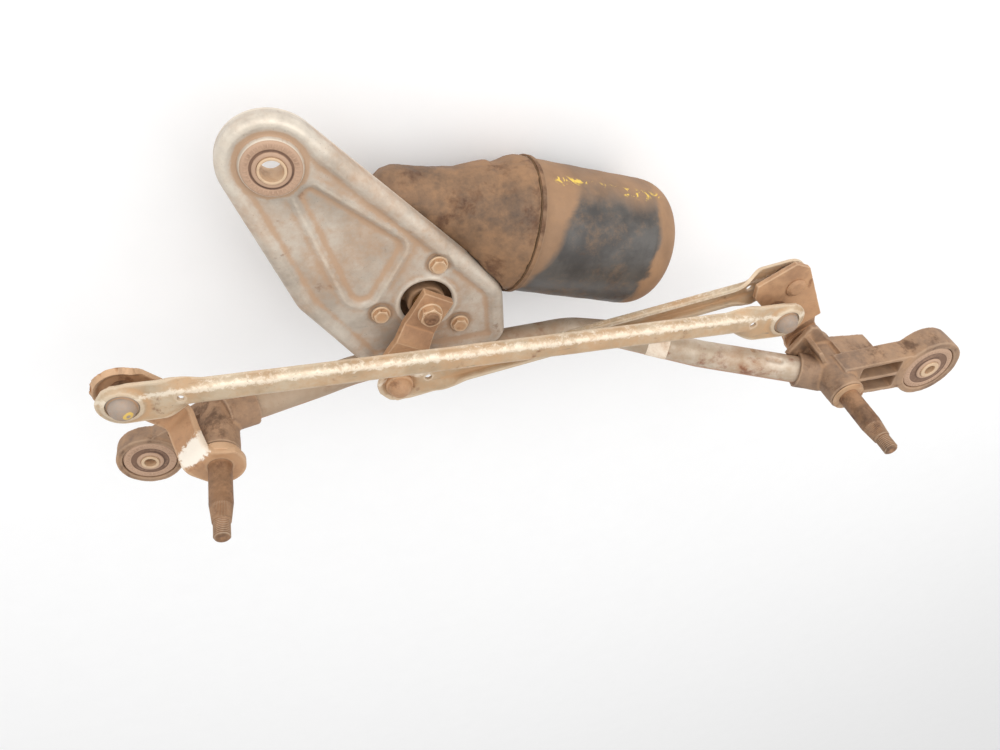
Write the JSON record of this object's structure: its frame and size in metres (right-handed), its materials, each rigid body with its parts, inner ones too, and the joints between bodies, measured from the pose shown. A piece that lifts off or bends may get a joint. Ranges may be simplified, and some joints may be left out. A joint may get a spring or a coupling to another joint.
{
  "type": "windshield wiper linkage with motor",
  "caption": "Wiper linkage: a bent tube frame with cast pivot housings, a plate-mounted gear motor, a crank, two rods and two levers that turn threaded spindles.",
  "frame": {"origin": "axis of the left spindle, at the front face of its lever's hub", "axes": "+Z along both spindles towards their threads, +X from the left spindle to the right one, +Y towards the motor"},
  "size_m": [0.5958, 0.242, 0.2314],
  "materials": {
    "tube_steel": "worn zinc with brown dust",
    "galvanised_steel": "dusty galvanised pressing",
    "lever_steel": "dusty, lightly rusted pressing",
    "cast_aluminium": "rough die casting under brown dust",
    "bearing_bronze": "sintered bronze",
    "rubber": "dusty brown-black rubber",
    "sleeve_steel": "worn zinc",
    "bolt_steel": "dusty yellow zinc",
    "spindle_steel": "brown rusty steel",
    "stud_steel": "greased steel",
    "can_paint": "black paint with rust and dust",
    "cover_plastic": "dusty black plastic",
    "cup_plastic": "grey-brown acetal under dust",
    "gear_nylon": "nylon",
    "core_iron": "laminated iron",
    "copper": "copper",
    "carbon": "carbon",
    "label_paper": "blank soiled paper"
  },
  "bodies": {
    "frame": {"frame_tube": "tube_steel", "tube_label": "label_paper", "motor_plate": "galvanised_steel", "left_housing": "cast_aluminium", "right_housing": "cast_aluminium", "left_bushes": "bearing_bronze", "right_bushes": "bearing_bronze", "left_grommet": "rubber", "right_grommet": "rubber", "plate_grommet": "rubber", "left_sleeve": "sleeve_steel", "right_sleeve": "sleeve_steel", "plate_sleeve": "sleeve_steel", "motor_bolts": "bolt_steel", "gearbox_housing": "cast_aluminium", "gearbox_cover": "cover_plastic", "cover_screws": "bolt_steel", "connector_socket": "cover_plastic", "output_bush": "bearing_bronze", "motor_can": "can_paint", "can_clamp_ring": "bolt_steel", "can_screws": "bolt_steel", "magnets": "core_iron", "brush_plate": "cover_plastic", "brushes": "carbon", "armature_bushes": "bearing_bronze"},
    "armature": {"armature_shaft": "spindle_steel", "armature_core": "core_iron", "armature_windings": "copper", "commutator": "copper"},
    "crank": {"output_shaft": "spindle_steel", "worm_wheel": "gear_nylon", "crank_arm": "lever_steel", "crank_nut": "bolt_steel", "crank_ball_stud": "stud_steel"},
    "crank_rod": {"crank_rod_bar": "galvanised_steel", "crank_rod_motor_cup": "cup_plastic", "crank_rod_lever_cup": "cup_plastic"},
    "right_pivot": {"right_spindle": "spindle_steel", "right_lever": "lever_steel", "right_front_ball_stud": "stud_steel", "right_rear_ball_stud": "stud_steel", "right_washers": "bolt_steel"},
    "left_pivot": {"left_spindle": "spindle_steel", "left_lever": "lever_steel", "left_ball_stud": "stud_steel", "left_circlip": "bolt_steel"},
    "long_rod": {"long_rod_bar": "galvanised_steel", "long_rod_left_cup": "cup_plastic", "long_rod_right_cup": "cup_plastic"}
  },
  "joints": [
    {"name": "wipe", "type": "hinge", "parent": "frame", "child": "right_pivot", "pos_m": [0.4267, -0.0328, 0], "axis": [0, 0, 1], "range_deg": [-65.9, 21.3]},
    {"name": "left_wipe", "type": "hinge", "parent": "frame", "child": "left_pivot", "pos_m": [0, 0, 0], "axis": [0, 0, 1], "range_deg": [-65.9, 21.3]},
    {"name": "long_rod_swing", "type": "hinge", "parent": "right_pivot", "child": "long_rod", "pos_m": [0.38476, 0.01528, 0], "axis": [0, 0, 1], "range_deg": [-21.3, 65.9]},
    {"name": "crank_turn", "type": "hinge", "parent": "frame", "child": "crank", "pos_m": [0.1439, 0.0403, 0], "axis": [0, 0, 1], "range_deg": [-25.6, 79.1]},
    {"name": "crank_rod_swing", "type": "hinge", "parent": "crank", "child": "crank_rod", "pos_m": [0.1168, -0.0012, 0], "axis": [0, 0, 1], "range_deg": [-77.8, 25.2]},
    {"name": "armature_spin", "type": "hinge", "parent": "frame", "child": "armature", "pos_m": [0.16051, 0.08746, -0.104], "axis": [0.9432, -0.3322, 0], "continuous": true}
  ],
  "couplings": [
    {"joint": "left_wipe", "follows": "wipe", "ratio": 1},
    {"joint": "long_rod_swing", "follows": "wipe", "ratio": -1},
    {"joint": "crank_turn", "follows": "wipe", "ratio": -1.2},
    {"joint": "crank_rod_swing", "follows": "wipe", "ratio": 1.18}
  ]
}
